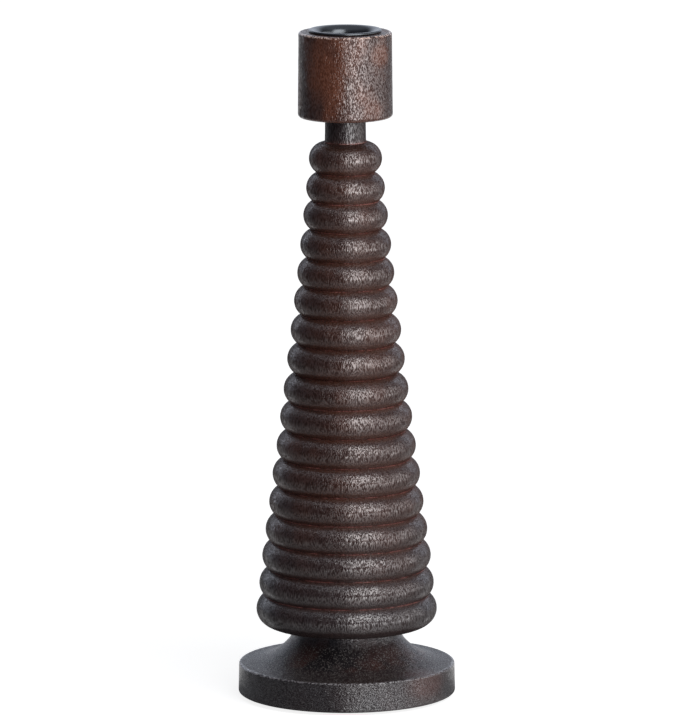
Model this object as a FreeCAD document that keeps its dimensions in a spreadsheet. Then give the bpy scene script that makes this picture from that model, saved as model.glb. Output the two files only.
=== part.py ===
import FreeCAD, Part
import math
import os
import types

import Sketcher

# A turned wooden candlestick: a base with a hollow-curved top, a tapering column of rounded rings, a neck,
# and a round block that holds a metal cup for a dinner candle. It stands on felt pads, with its axis on Z
# and the floor at Z = 0. All lengths are in millimetres.

LENGTHS = (
    # Felt pads under the base
    ("pad_radius", 6.0),
    ("pad_thickness", 1.5),
    ("pad_inset", 5.5),
    # Base: its side, its two rounded edges, and the cove that sweeps up to the waist
    ("base_radius", 48.5),
    ("base_side_draft", 0.25),
    ("base_rim_height", 13.4),
    ("base_bottom_round", 1.0),
    ("base_top_round", 1.0),
    ("cove_height", 15.8),
    ("waist_radius", 24.0),
    # Column: its waist, its rings, and the neck above them
    ("waist_length", 1.4),
    ("lowest_ring_radius", 40.35),
    ("highest_ring_radius", 16.25),
    ("ring_pitch", 12.7),
    ("widest_groove_depth", 4.5),
    ("neck_foot_radius", 9.2),
    ("neck_radius", 9.0),
    ("neck_length", 11.0),
    # Tenons at the column's two ends, and the room that their mortises leave
    ("foot_tenon_radius", 11.0),
    ("head_tenon_radius", 6.5),
    ("head_tenon_length", 9.5),
    ("tenon_chamfer", 0.8),
    ("tenon_clearance", 0.05),
    ("mortise_end_gap", 0.5),
    # Solid wood left between a mortise and the hollow on its other side
    ("base_web", 7.7),
    ("block_web", 5.8),
    # Block that holds the cup
    ("block_radius", 21.05),
    ("block_top_radius", 20.7),
    ("block_bottom_round", 1.7),
    ("block_top_round", 1.0),
    # Metal cup for a dinner candle 22 mm across
    ("cup_bore_radius", 11.5),
    ("cup_wall", 1.2),
    ("cup_depth", 22.0),
    ("cup_flare_radius", 3.75),
    ("cup_lip_flat", 0.3),
    ("cup_corner_radius", 2.5),
    ("cup_clearance", 0.1),
    ("cup_floor_gap", 0.2),
    # Screw that holds the cup and the block to the column
    ("cup_screw_head_radius", 3.6),
    ("cup_screw_head_height", 2.0),
    ("cup_screw_thread_radius", 1.75),
    ("cup_screw_thread_depth", 0.5),
    ("cup_screw_plain_length", 8.0),
    ("cup_screw_length", 30.0),
    ("cup_screw_pitch", 1.6),
    # Screw from below, its washer, and how far its head is sunk into the base
    ("base_screw_head_radius", 4.8),
    ("base_screw_head_height", 3.2),
    ("base_screw_thread_radius", 2.5),
    ("base_screw_thread_depth", 0.7),
    ("base_screw_plain_length", 10.0),
    ("base_screw_length", 45.0),
    ("base_screw_pitch", 2.2),
    ("base_screw_sinking", 2.6),
    ("washer_radius", 8.0),
    ("washer_thickness", 1.2),
    ("washer_clearance", 1.0),
    # Room around a screw's shank, around its thread and past its tip
    ("shank_clearance", 0.25),
    ("thread_clearance", 0.05),
    ("screw_end_gap", 1.5),
)

# Gaps between neighbouring rings, from the highest ring down, as shares of the ring pitch. The rings were
# spaced by eye on the lathe, so the gaps are uneven.
RING_GAP_SHARES = (1.04, 0.97, 1.03, 1.0, 0.99, 1.03, 1.03, 1.07, 0.99, 1.02, 1.0, 1.0, 0.98,
                   0.94, 0.98, 0.93)

# How far each ring has widened from the highest to the lowest, as a share of the whole widening.
RING_WIDTH_SHARES = (0.0, 0.052, 0.106, 0.165, 0.222, 0.283, 0.347, 0.413, 0.48, 0.548, 0.616, 0.692, 0.756,
                     0.825, 0.889, 0.944, 1.0)

# The tighter of the cove's two arcs, as a share of the cove's shorter side
COVE_TIGHT_SHARE = 0.6

# How far the lowest ring's underside lies below the ring's middle, as a share of its bead's radius
RING_UNDERSIDE_SHARE = 0.96

# A screw's tip, its head's rounding and its cross recess, as shares of the sizes that they follow
TIP_LENGTH_SHARE = 2.0
HEAD_ROUND_SHARE = 0.6
RECESS_REACH_SHARE = 0.62
RECESS_WIDTH_SHARE = 0.2
RECESS_DEPTH_SHARE = 0.6

PAD_COUNT = 4
FIRST_PAD_ANGLE = math.radians(45)


class Formula:
    """A number, together with the formula that gives it from the sheet."""

    def __init__(self, text, value):
        self.text = text
        self.value = value

    def join(self, sign, other, value):
        other_text = other.text if isinstance(other, Formula) else repr(float(other))
        return Formula(f"({self.text} {sign} {other_text})", value)

    def __add__(self, other):
        return self.join("+", other, self.value + number(other))

    def __sub__(self, other):
        return self.join("-", other, self.value - number(other))

    def __mul__(self, other):
        return self.join("*", other, self.value * number(other))

    def __truediv__(self, other):
        return self.join("/", other, self.value / number(other))


def number(size):
    """The plain number of a formula or of a plain number."""
    return size.value if isinstance(size, Formula) else float(size)


def make_sheet(doc):
    """Put every length in the sheet, and return one formula for each by its name."""
    sheet = doc.addObject("Spreadsheet::Sheet", "Sizes")
    sizes = types.SimpleNamespace()
    for row, (name, length) in enumerate(LENGTHS, start=1):
        sheet.set(f"A{row}", name)
        sheet.set(f"B{row}", str(length))
        sheet.setAlias(f"B{row}", name)
        setattr(sizes, name, Formula(f"Sizes.{name}", length))
    doc.recompute()
    return sizes


def make_body(doc, label):
    body = doc.addObject("PartDesign::Body", label)
    body.Label = label
    return body


def make_sketch(body, name, role, height=None):
    """Attach a sketch to one of the body's own planes, raised by a height where one is given."""
    sketch = body.newObject("Sketcher::SketchObject", name)
    plane = [item for item in body.Origin.OriginFeatures if item.Role == role][0]
    sketch.AttachmentSupport = [(plane, "")]
    sketch.MapMode = "FlatFace"
    if height is not None:
        sketch.setExpression("AttachmentOffset.Base.z", height.text)
    return sketch


def seat(piece, height):
    """Set how high a piece's own origin stands above the floor."""
    piece.setExpression("Placement.Base.z", height.text)


class Path:
    """A closed outline in a sketch. Coordinates are given across and up. One that is a formula, or zero,
    is pinned to it. A plain number is only a first guess, which the constraints settle."""

    def __init__(self, sketch, across, up):
        self.sketch = sketch
        self.origin = (across, up)
        self.spot = FreeCAD.Vector(number(across), number(up), 0)
        self.first = None
        self.last = None

    def bind(self, kind, parts, size):
        index = self.sketch.addConstraint(Sketcher.Constraint(kind, *parts, size.value))
        self.sketch.setExpression(f"Constraints[{index}]", size.text)

    def pin(self, piece, point, across, up):
        """Pin a point where its coordinates are formulas or zero. Axis -1 runs across and -2 up."""
        for kind, axis, size in (("DistanceX", -2, across), ("DistanceY", -1, up)):
            if isinstance(size, Formula):
                self.bind(kind, (piece, point), size)
            elif size == 0:
                self.sketch.addConstraint(Sketcher.Constraint("PointOnObject", piece, point, axis))

    def join(self, piece, start, end, smooth):
        """Tie a new piece's start to the last one's end, or pin the very first."""
        if self.last is None:
            self.first = (piece, start)
            self.pin(piece, start, *self.origin)
        else:
            kind = "Tangent" if smooth else "Coincident"
            self.sketch.addConstraint(Sketcher.Constraint(kind, *self.last, piece, start))
        self.last = (piece, end)

    def line(self, across, up):
        goal = FreeCAD.Vector(number(across), number(up), 0)
        piece = self.sketch.addGeometry(Part.LineSegment(self.spot, goal))
        self.join(piece, 1, 2, False)
        self.pin(piece, 2, across, up)
        self.spot = goal

    def arc(self, end, centre, radius, clockwise=False, smooth=False):
        """Draw an arc about a centre. End and centre are pairs, and what isn't a formula is a guess."""
        goal = FreeCAD.Vector(number(end[0]), number(end[1]), 0)
        middle = FreeCAD.Vector(number(centre[0]), number(centre[1]), 0)
        begin, finish = (goal, self.spot) if clockwise else (self.spot, goal)
        turn_from = math.atan2(begin.y - middle.y, begin.x - middle.x)
        turn_to = math.atan2(finish.y - middle.y, finish.x - middle.x)
        circle = Part.Circle(middle, FreeCAD.Vector(0, 0, 1), number(radius))
        piece = self.sketch.addGeometry(Part.ArcOfCircle(circle, turn_from, turn_to))
        start_point, end_point = (2, 1) if clockwise else (1, 2)
        self.join(piece, start_point, end_point, smooth)
        self.pin(piece, end_point, *end)
        self.pin(piece, 3, *centre)
        if isinstance(radius, Formula):
            self.bind("Radius", (piece,), radius)
        self.spot = goal

    def bend(self, across, up, radius, clockwise=False):
        """Draw an arc of under a half circle, of a given radius, to a point."""
        goal = FreeCAD.Vector(number(across), number(up), 0)
        chord = goal - self.spot
        side = FreeCAD.Vector(-chord.y, chord.x, 0)
        side.normalize()
        reach = math.sqrt(max(radius.value ** 2 - (chord.Length / 2) ** 2, 0))
        if clockwise:
            reach = -reach
        middle = self.spot + chord * 0.5 + side * reach
        self.arc((across, up), (middle.x, middle.y), radius, clockwise)

    def close(self):
        goal = FreeCAD.Vector(number(self.origin[0]), number(self.origin[1]), 0)
        piece = self.sketch.addGeometry(Part.LineSegment(self.spot, goal))
        self.join(piece, 1, 2, False)
        self.sketch.addConstraint(Sketcher.Constraint("Coincident", piece, 2, *self.first))


def section(body, name, across=0, up=0):
    """Start a half section of a turned piece, with the lathe's axis on the sketch's vertical axis."""
    return Path(make_sketch(body, name, "XZ_Plane"), across, up)


def turn(body, path):
    """Turn a closed half section into a solid about the vertical axis."""
    path.close()
    solid = body.newObject("PartDesign::Revolution", "turned")
    solid.Profile = path.sketch
    solid.ReferenceAxis = (path.sketch, ["V_Axis"])
    solid.Angle = 360.0
    body.Tip = solid


def bore(body, name, radius, start, depth, upwards):
    """Cut a round hole on the axis, from a height up or down."""
    sketch = make_sketch(body, name + "_circle", "XY_Plane", start)
    circle = sketch.addGeometry(Part.Circle(FreeCAD.Vector(), FreeCAD.Vector(0, 0, 1), radius.value))
    sketch.addConstraint(Sketcher.Constraint("Coincident", circle, 3, -1, 1))
    index = sketch.addConstraint(Sketcher.Constraint("Radius", circle, radius.value))
    sketch.setExpression(f"Constraints[{index}]", radius.text)
    cut_pocket(body, name, sketch, depth, upwards)


def cut_pocket(body, name, sketch, depth, upwards):
    hole = body.newObject("PartDesign::Pocket", name)
    hole.Profile = sketch
    hole.Reversed = upwards
    hole.setExpression("Length", depth.text)
    body.Tip = hole


def bead_radius(size):
    """The radius of the rings' round edges, which gives the widest groove its depth."""
    half_gap = size.ring_pitch * max(RING_GAP_SHARES) / 2
    depth = size.widest_groove_depth
    return (half_gap * half_gap + depth * depth) / (depth * 2)


def ring_heights(size):
    """Each ring's height above the column's shoulder, from the lowest ring to the highest."""
    lowest = size.waist_length + bead_radius(size) * RING_UNDERSIDE_SHARE
    heights = [lowest]
    gaps_below = 0.0
    for gap_share in reversed(RING_GAP_SHARES):
        gaps_below = gaps_below + gap_share
        heights.append(lowest + size.ring_pitch * round(gaps_below, 4))
    return heights


def ring_radii(size):
    """Each ring's largest radius, from the lowest ring to the highest."""
    widening = size.lowest_ring_radius - size.highest_ring_radius
    return [size.highest_ring_radius + widening * share for share in reversed(RING_WIDTH_SHARES)]


def column_rise(size):
    """The height of the column between its two shoulders, its tenons left out."""
    return ring_heights(size)[-1] + bead_radius(size) + size.neck_length


def base_height(size):
    return size.base_rim_height + size.cove_height


def counterbore_depth(size):
    return size.base_screw_sinking + size.base_screw_head_height + size.washer_thickness


def foot_tenon_length(size):
    """The lower tenon fills what the counterbore and the web leave of the base, but for the end gap."""
    return base_height(size) - counterbore_depth(size) - size.base_web - size.mortise_end_gap


def cup_seat_depth(size):
    """How deep the block is bored for the cup, from its top."""
    return size.cup_depth + size.cup_floor_gap


def block_height(size):
    return size.head_tenon_length + size.mortise_end_gap + size.block_web + cup_seat_depth(size)


def block_foot(size):
    """The height of the block's underside above the floor."""
    return size.pad_thickness + base_height(size) + column_rise(size)


def make_base(doc, size):
    """A disc whose top sweeps up to the waist in a cove of two arcs, bored for the column and its screw."""
    body = make_body(doc, "base")
    top = base_height(size)
    rim_radius = size.base_radius - size.base_side_draft
    path = section(body, "base_section")
    path.line(size.base_radius - size.base_bottom_round, 0)
    path.bend(size.base_radius, size.base_bottom_round, size.base_bottom_round)
    path.line(rim_radius, size.base_rim_height - size.base_top_round)
    path.bend(rim_radius - size.base_top_round, size.base_rim_height, size.base_top_round)
    draw_cove(path, size, rim_radius - size.base_top_round)
    path.line(0, top)
    turn(body, path)
    mortise = foot_tenon_length(size) + size.mortise_end_gap
    bore(body, "mortise", size.foot_tenon_radius + size.tenon_clearance, top, mortise, False)
    bore(body, "counterbore", size.washer_radius + size.washer_clearance, None, counterbore_depth(size),
         True)
    hole_radius = size.base_screw_thread_radius + size.shank_clearance
    bore(body, "screw_hole", hole_radius, counterbore_depth(size), size.base_web, True)
    seat(body, size.pad_thickness)
    return body


def draw_cove(path, size, start):
    """Sweep from the rim to the waist in two arcs that meet smoothly. The outer arc starts level and the
    inner one ends upright. The tighter arc, the inner one on a wide cove, follows the cove's shorter side,
    and the other arc's radius follows from it and from the two ends."""
    top = base_height(size)
    width = start - size.waist_radius
    height = size.cove_height
    tight = min(width, height, key=number) * COVE_TIGHT_SHARE
    long_side = max(width.value, height.value)
    short_side = min(width.value, height.value)
    wide = ((long_side - tight.value) ** 2 + short_side ** 2 - tight.value ** 2)
    wide = wide / (2 * (short_side - tight.value))
    outer, inner = (wide, tight) if width.value >= height.value else (tight, wide)
    outer_middle = FreeCAD.Vector(start.value, size.base_rim_height.value + number(outer), 0)
    inner_middle = FreeCAD.Vector(size.waist_radius.value + number(inner), top.value, 0)
    lean = inner_middle - outer_middle
    lean.normalize()
    meeting = outer_middle + lean * number(outer)
    if outer is tight:
        meeting = outer_middle - lean * number(outer)
    path.arc((meeting.x, meeting.y), (start, outer_middle.y), outer, clockwise=True)
    path.arc((size.waist_radius, top), (inner_middle.x, top), inner, clockwise=True, smooth=True)


def make_column(doc, size):
    """Seventeen rings that meet in sharp grooves, a neck above them and a tenon at each end."""
    body = make_body(doc, "column")
    shoulder = foot_tenon_length(size)
    bead = bead_radius(size)
    rings = zip(ring_radii(size), ring_heights(size))
    centres = [(radius - bead, shoulder + height) for radius, height in rings]
    path = section(body, "column_section")
    path.line(size.foot_tenon_radius - size.tenon_chamfer, 0)
    path.line(size.foot_tenon_radius, size.tenon_chamfer)
    path.line(size.foot_tenon_radius, shoulder)
    path.line(size.waist_radius, shoulder)
    underside = shoulder + size.waist_length
    path.line(size.waist_radius, underside)
    flank_reach = bead.value * math.sqrt(1 - RING_UNDERSIDE_SHARE ** 2)
    path.line(centres[0][0].value + flank_reach, underside)
    for below, above in zip(centres, centres[1:]):
        path.arc(groove_point(below, above, bead), below, bead)
    top = centres[-1]
    neck_rise = math.sqrt(bead.value ** 2 - (size.neck_foot_radius.value - top[0].value) ** 2)
    path.arc((size.neck_foot_radius, top[1].value + neck_rise), top, bead)
    neck_top = shoulder + column_rise(size)
    path.line(size.neck_radius, neck_top)
    path.line(size.head_tenon_radius, neck_top)
    tenon_top = neck_top + size.head_tenon_length
    path.line(size.head_tenon_radius, tenon_top - size.tenon_chamfer)
    path.line(size.head_tenon_radius - size.tenon_chamfer, tenon_top)
    path.line(0, tenon_top)
    turn(body, path)
    foot_hole = size.base_screw_thread_radius + size.thread_clearance
    bore(body, "foot_screw_hole", foot_hole, None, base_screw_reach(size) + size.screw_end_gap, True)
    head_hole = size.cup_screw_thread_radius + size.thread_clearance
    bore(body, "head_screw_hole", head_hole, tenon_top, cup_screw_reach(size) + size.screw_end_gap, False)
    seat(body, size.pad_thickness + base_height(size) - shoulder)
    return body


def groove_point(below, above, bead):
    """Where two neighbouring rings' outlines cross, on the outer side."""
    low = FreeCAD.Vector(below[0].value, below[1].value, 0)
    high = FreeCAD.Vector(above[0].value, above[1].value, 0)
    step = high - low
    side = FreeCAD.Vector(step.y, -step.x, 0)
    side.normalize()
    reach = math.sqrt(bead.value ** 2 - (step.Length / 2) ** 2)
    point = low + step * 0.5 + side * reach
    return (point.x, point.y)


def cup_screw_seat(size):
    """The height above the floor at which the cup screw's head bears, on the floor of the cup."""
    return block_foot(size) + block_height(size) - size.cup_depth + size.cup_wall


def cup_screw_reach(size):
    """How far the cup's screw goes into the column, from the end of its upper tenon."""
    tenon_end = block_foot(size) + size.head_tenon_length
    return size.cup_screw_length - cup_screw_seat(size) + tenon_end


def base_screw_seat(size):
    """The height above the floor at which the base screw's head bears, under the washer."""
    return size.pad_thickness + counterbore_depth(size) - size.washer_thickness


def base_screw_reach(size):
    """How far the base's screw goes into the column, from the end of its lower tenon."""
    tenon_end = size.pad_thickness + base_height(size) - foot_tenon_length(size)
    return size.base_screw_length + base_screw_seat(size) - tenon_end


def make_socket_block(doc, size):
    """A round block, a little narrower at its top, bored from above for the cup and below for the tenon."""
    body = make_body(doc, "socket_block")
    height = block_height(size)
    bore_radius = size.cup_bore_radius + size.cup_wall + size.cup_clearance
    bore_floor = height - cup_seat_depth(size)
    mouth = size.cup_flare_radius - size.cup_wall
    path = section(body, "block_section")
    path.line(size.block_radius - size.block_bottom_round, 0)
    path.bend(size.block_radius, size.block_bottom_round, size.block_bottom_round)
    path.line(size.block_top_radius, height - size.block_top_round)
    path.bend(size.block_top_radius - size.block_top_round, height, size.block_top_round)
    path.line(bore_radius + mouth, height)
    path.bend(bore_radius, height - mouth, mouth)
    path.line(bore_radius, bore_floor)
    path.line(0, bore_floor)
    turn(body, path)
    mortise = size.head_tenon_length + size.mortise_end_gap
    bore(body, "mortise", size.head_tenon_radius + size.tenon_clearance, None, mortise, True)
    hole_radius = size.cup_screw_thread_radius + size.shank_clearance
    bore(body, "screw_hole", hole_radius, mortise, size.block_web, True)
    seat(body, block_foot(size))
    return body


def make_candle_cup(doc, size):
    """A spun cup: straight wall, rounded floor corner, and a mouth that flares out to a rounded lip."""
    body = make_body(doc, "candle_cup")
    outer_radius = size.cup_bore_radius + size.cup_wall
    outer_corner = size.cup_corner_radius + size.cup_wall
    outer_flare = size.cup_flare_radius - size.cup_wall
    flare_end = size.cup_bore_radius + size.cup_flare_radius
    lip_middle = flare_end + size.cup_lip_flat
    top = size.cup_depth + size.cup_wall
    hole_radius = size.cup_screw_thread_radius + size.shank_clearance
    path = section(body, "cup_section", hole_radius, 0)
    path.line(outer_radius - outer_corner, 0)
    path.bend(outer_radius, outer_corner, outer_corner)
    path.line(outer_radius, size.cup_depth - outer_flare)
    path.bend(flare_end, size.cup_depth, outer_flare, clockwise=True)
    path.line(lip_middle, size.cup_depth)
    half_wall = size.cup_wall.value / 2
    path.arc((lip_middle, top), (lip_middle, size.cup_depth.value + half_wall), half_wall)
    path.line(flare_end, top)
    path.bend(size.cup_bore_radius, top - size.cup_flare_radius, size.cup_flare_radius)
    path.line(size.cup_bore_radius, size.cup_wall + size.cup_corner_radius)
    path.bend(size.cup_bore_radius - size.cup_corner_radius, size.cup_wall, size.cup_corner_radius,
              clockwise=True)
    path.line(hole_radius, size.cup_wall)
    turn(body, path)
    seat(body, block_foot(size) + block_height(size) - size.cup_depth)
    return body


SCREW_SIZES = ("head_radius", "head_height", "thread_radius", "thread_depth", "plain_length", "length",
               "pitch")


def make_wood_screw(doc, size, name, seat_height, upwards):
    """A round-headed wood screw that stands on its tip, with its thread as a row of sharp ridges and a
    cross recess in its head. Its head bears at the seat's height, and it points up or down from there."""
    body = make_body(doc, name)
    own = types.SimpleNamespace()
    for part in SCREW_SIZES:
        setattr(own, part, getattr(size, f"{name}_{part}"))
    core_radius = own.thread_radius - own.thread_depth
    tip = core_radius * TIP_LENGTH_SHARE
    thread_top = own.length - own.plain_length
    path = section(body, "screw_section")
    path.line(core_radius, tip)
    ridge_count = int((thread_top.value - tip.value) / own.pitch.value)
    for ridge in range(ridge_count):
        foot = tip + own.pitch * ridge
        path.line(own.thread_radius, foot + own.pitch / 2)
        path.line(core_radius, foot + own.pitch)
    path.line(own.thread_radius, thread_top)
    path.line(own.thread_radius, own.length)
    path.line(own.head_radius, own.length)
    head_round = own.head_height * HEAD_ROUND_SHARE
    head_top = own.length + own.head_height
    path.line(own.head_radius, head_top - head_round)
    path.bend(own.head_radius - head_round, head_top, head_round)
    path.line(0, head_top)
    turn(body, path)
    cut_cross_recess(body, own, head_top)
    if upwards:
        body.Placement.Rotation = FreeCAD.Rotation(FreeCAD.Vector(1, 0, 0), 180)
        seat(body, seat_height + own.length)
    else:
        seat(body, seat_height - own.length)
    return body


def cut_cross_recess(body, own, head_top):
    reach = own.head_radius * RECESS_REACH_SHARE
    half_width = own.head_radius * RECESS_WIDTH_SHARE / 2
    arm = ((reach, half_width), (half_width, half_width), (half_width, reach))
    corners = [quarter_turns(across, up, count) for count in range(4) for across, up in arm]
    path = Path(make_sketch(body, "cross", "XY_Plane", head_top), *corners[0])
    for across, up in corners[1:]:
        path.line(across, up)
    path.close()
    cut_pocket(body, "cross_recess", path.sketch, own.head_height * RECESS_DEPTH_SHARE, False)


def quarter_turns(across, up, count):
    """Turn a point about the origin by a number of quarter turns."""
    for _ in range(count):
        across, up = up * -1, across
    return across, up


def make_base_washer(doc, size):
    body = make_body(doc, "base_washer")
    hole_radius = size.base_screw_thread_radius + size.shank_clearance
    path = section(body, "washer_section", hole_radius, 0)
    path.line(size.washer_radius, 0)
    path.line(size.washer_radius, size.washer_thickness)
    path.line(hole_radius, size.washer_thickness)
    turn(body, path)
    seat(body, base_screw_seat(size))
    return body


def make_felt_pads(doc, size):
    circle_radius = size.base_radius - size.base_bottom_round - size.pad_inset - size.pad_radius
    pads = []
    for index in range(PAD_COUNT):
        label = f"felt_pad_{index + 1}"
        angle = FIRST_PAD_ANGLE + 2 * math.pi * index / PAD_COUNT
        pad = doc.addObject("Part::Cylinder", label)
        pad.Label = label
        pad.setExpression("Radius", size.pad_radius.text)
        pad.setExpression("Height", size.pad_thickness.text)
        pad.setExpression("Placement.Base.x", (circle_radius * math.cos(angle)).text)
        pad.setExpression("Placement.Base.y", (circle_radius * math.sin(angle)).text)
        pads.append(pad)
    return pads


def check_document(doc, pieces):
    """Stop if any feature failed, a sketch is loose, a cut removed nothing or a piece is unsound."""
    for item in doc.Objects:
        if "Invalid" in item.State or "Error" in item.State:
            raise RuntimeError(f"{item.Name} failed to compute: {item.State}")
        if item.TypeId == "Sketcher::SketchObject" and not item.FullyConstrained:
            raise RuntimeError(f"{item.Name} isn't fully constrained")
        if item.TypeId == "PartDesign::Pocket" and item.Shape.Volume >= item.BaseFeature.Shape.Volume:
            raise RuntimeError(f"{item.Name} cuts nothing")
    for piece in pieces:
        shape = piece.Shape
        if shape.isNull() or not shape.isValid() or len(shape.Solids) != 1:
            raise RuntimeError(f"{piece.Label} isn't one sound solid")


def write_pieces(pieces):
    os.makedirs("parts", exist_ok=True)
    for piece in pieces:
        piece.Shape.exportStep(f"parts/{piece.Label}.step")
        box = piece.Shape.optimalBoundingBox()
        print(f"{piece.Label}: volume {piece.Shape.Volume:.1f} mm3, "
              f"Z {box.ZMin:.2f} to {box.ZMax:.2f}, X up to {box.XMax:.2f}")


def main():
    doc = FreeCAD.newDocument("candlestick")
    size = make_sheet(doc)
    pieces = [
        make_base(doc, size),
        make_column(doc, size),
        make_socket_block(doc, size),
        make_candle_cup(doc, size),
        make_wood_screw(doc, size, "cup_screw", cup_screw_seat(size), False),
        make_wood_screw(doc, size, "base_screw", base_screw_seat(size), True),
        make_base_washer(doc, size),
    ]
    pieces.extend(make_felt_pads(doc, size))
    doc.recompute()
    check_document(doc, pieces)
    write_pieces(pieces)


main()
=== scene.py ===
import math
from dataclasses import dataclass
from functools import reduce

import bpy
import numpy as np
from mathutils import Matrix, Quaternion, Vector, noise


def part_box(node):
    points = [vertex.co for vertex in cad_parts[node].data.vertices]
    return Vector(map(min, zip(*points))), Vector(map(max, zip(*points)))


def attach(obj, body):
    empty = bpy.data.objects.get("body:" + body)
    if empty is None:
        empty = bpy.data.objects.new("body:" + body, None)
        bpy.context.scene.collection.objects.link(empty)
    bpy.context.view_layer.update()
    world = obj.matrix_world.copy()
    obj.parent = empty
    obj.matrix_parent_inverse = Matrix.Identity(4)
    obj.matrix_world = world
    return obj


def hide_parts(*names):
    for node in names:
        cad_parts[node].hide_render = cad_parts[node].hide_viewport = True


# The looks of a turned wooden candlestick with a metal cup for a dinner candle. Lengths are in metres.
# The wooden pieces and the cup are turned again here from the frame's own outlines, on a finer mesh.

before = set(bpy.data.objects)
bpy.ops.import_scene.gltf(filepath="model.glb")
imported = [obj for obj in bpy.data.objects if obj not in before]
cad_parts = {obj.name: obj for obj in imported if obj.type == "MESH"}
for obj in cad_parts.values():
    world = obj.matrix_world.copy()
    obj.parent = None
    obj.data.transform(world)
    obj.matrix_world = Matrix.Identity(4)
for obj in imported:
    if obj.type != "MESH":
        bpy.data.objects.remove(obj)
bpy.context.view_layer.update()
MM = 0.001

# The picture: the camera looks at a point on the stick's axis, a little down. Blender gives a sensor's
# width in millimetres.
PHOTO_WIDTH = 680
PHOTO_HEIGHT = 715
FOCAL_PIXELS = 7900
CAMERA_DISTANCE = 3.513
CAMERA_ELEVATION = math.radians(10.05)
CAMERA_ROLL = math.radians(-0.15)
AIM_HEIGHT = 0.1505
AIM_PIXEL = (346.0, 362.4)
SENSOR_WIDTH = 36
CLIP_END = 50

# Outlines read from the frame: how far apart the same point or curvature may be, the turn that makes a
# corner, the radius under which a rounding counts as an edge, and the bend that counts as straight
SAME_POINT = 0.001 * MM
SAME_CURVE_SHARE = 0.06
CORNER_ANGLE = math.radians(20)
TIGHT_ROUND = 3 * MM
NEARLY_STRAIGHT = 1e-3

# Turned meshes: the share of a step by which one may be longer, the step where nothing shows, the angle
# that is shaded as an edge, and a distance that is past every reach
STEP_SLACK = 0.01
HIDDEN_STEP = 6 * MM
SHARP_ANGLE = math.radians(50)
FAR_AWAY = 1.0

# The brushed grain: how far its fibres sway and over what length, and how deep it is cut everywhere and,
# as a share of its depth, in the middle of its noise. Without a seed, noise_vector differs from run to run.
GRAIN_SEED = 1
GRAIN_SWAY_SIZE = 14 * MM
GRAIN_SWAY_REACH = 1.2 * MM
SKIN_DEPTH = 0.015 * MM
MIDDLE_CUT = 0.35


def joined_points(node):
    """The outline of a turned solid, read from its mesh in the half plane y = 0, x > 0. The first map
    gives each outline point's exact place, the second the points that an edge joins it to."""
    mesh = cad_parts[node].data
    keys = {}
    places = {}
    for vertex in mesh.vertices:
        x, y, z = vertex.co
        if abs(y) < SAME_POINT and x > -SAME_POINT:
            key = (round(x / SAME_POINT), round(z / SAME_POINT))
            keys[vertex.index] = key
            places[key] = Vector((x, z))
    neighbours = {key: set() for key in places}
    for edge in mesh.edges:
        start, end = (keys.get(index) for index in edge.vertices)
        if start and end and start != end:
            neighbours[start].add(end)
            neighbours[end].add(start)
    return places, neighbours


def outline_runs(neighbours):
    """Chains of joined points. Flat faces have no edge in the half plane, so they part the chains."""
    left = set(neighbours)
    runs = []
    while left:
        run = [min(left, key=lambda key: (len(neighbours[key]), key))]
        left.remove(run[0])
        following = sorted(neighbours[run[0]] & left)
        while following:
            run.append(following[0])
            left.remove(following[0])
            following = sorted(neighbours[run[-1]] & left)
        runs.append(run)
    return runs


def run_with_end_at(runs, height):
    """The first run that has an end at a height, and which end that is, or None."""
    return next(((run, end) for run in runs for end in (0, -1) if run[end][1] == height), None)


def read_outline(node):
    """The solid's outline as (radius, height) points in order, and whether it closes on itself. One that
    doesn't close ends on the axis. It has the solid on its left."""
    places, neighbours = joined_points(node)
    runs = outline_runs(neighbours)
    chain = runs.pop(0)
    while runs:
        found = run_with_end_at(runs, chain[-1][1])
        if found is None:
            chain.reverse()
            found = run_with_end_at(runs, chain[-1][1])
        run, end = found
        runs.remove(run)
        chain.extend(run if end == 0 else reversed(run))
    closed = chain[0][1] == chain[-1][1]
    points = [places[key] for key in chain]
    if not closed:
        points = [Vector((0, points[0].y)), *points, Vector((0, points[-1].y))]
    area = sum(point.cross(following) for point, following in zip(points, points[1:] + points[:1]))
    if area < 0:
        points.reverse()
    return points, closed


def turn_at(before, point, after):
    """The angle by which an outline turns at a point, to the left above zero."""
    come, go = point - before, after - point
    return math.atan2(come.cross(go), come.dot(go))


def turns_along(points):
    """The angle by which the outline turns at each of its points."""
    count = len(points)
    return [turn_at(points[index - 1], points[index], points[(index + 1) % count]) for index in range(count)]


def curve_at(before, point, after):
    """The curvature of the circle through three points, above zero where it turns left."""
    return 2 * (point - before).cross(after - point) / (
        (point - before).length * (after - point).length * (after - before).length)


def curved_middle(start, end, curvature, share):
    """A point on the arc from start to end, at a share of its chord."""
    chord = end - start
    point = start + chord * share
    if abs(curvature) * chord.length < NEARLY_STRAIGHT:
        return point
    radius = 1 / abs(curvature)
    along = chord.length * (share - 0.5)
    rise = math.sqrt(radius ** 2 - along ** 2) - math.sqrt(radius ** 2 - chord.length ** 2 / 4)
    side = Vector((chord.y, -chord.x)).normalized()
    return point + side * math.copysign(rise, curvature)


def segment_curvatures(points, closed):
    """Each segment's curvature: that of the neighbouring points which agree with the point past them. A
    segment that no such pair flanks is straight."""
    count = len(points)
    curves = []
    for index in range(count):
        trio = (points[index - 1], points[index], points[(index + 1) % count])
        sharp = abs(turn_at(*trio)) > CORNER_ANGLE or (not closed and index in (0, count - 1))
        curves.append(None if sharp else curve_at(*trio))
    bends = []
    for index in range(count if closed else count - 1):
        bend = 0.0
        for near, far in ((index, index - 1), ((index + 1) % count, (index + 2) % count)):
            curve, beyond = curves[near], curves[far]
            if None in (curve, beyond):
                continue
            if abs(curve - beyond) < SAME_CURVE_SHARE * abs(curve) and abs(curve) > abs(bend):
                bend = curve
        bends.append(bend)
    return bends


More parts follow.
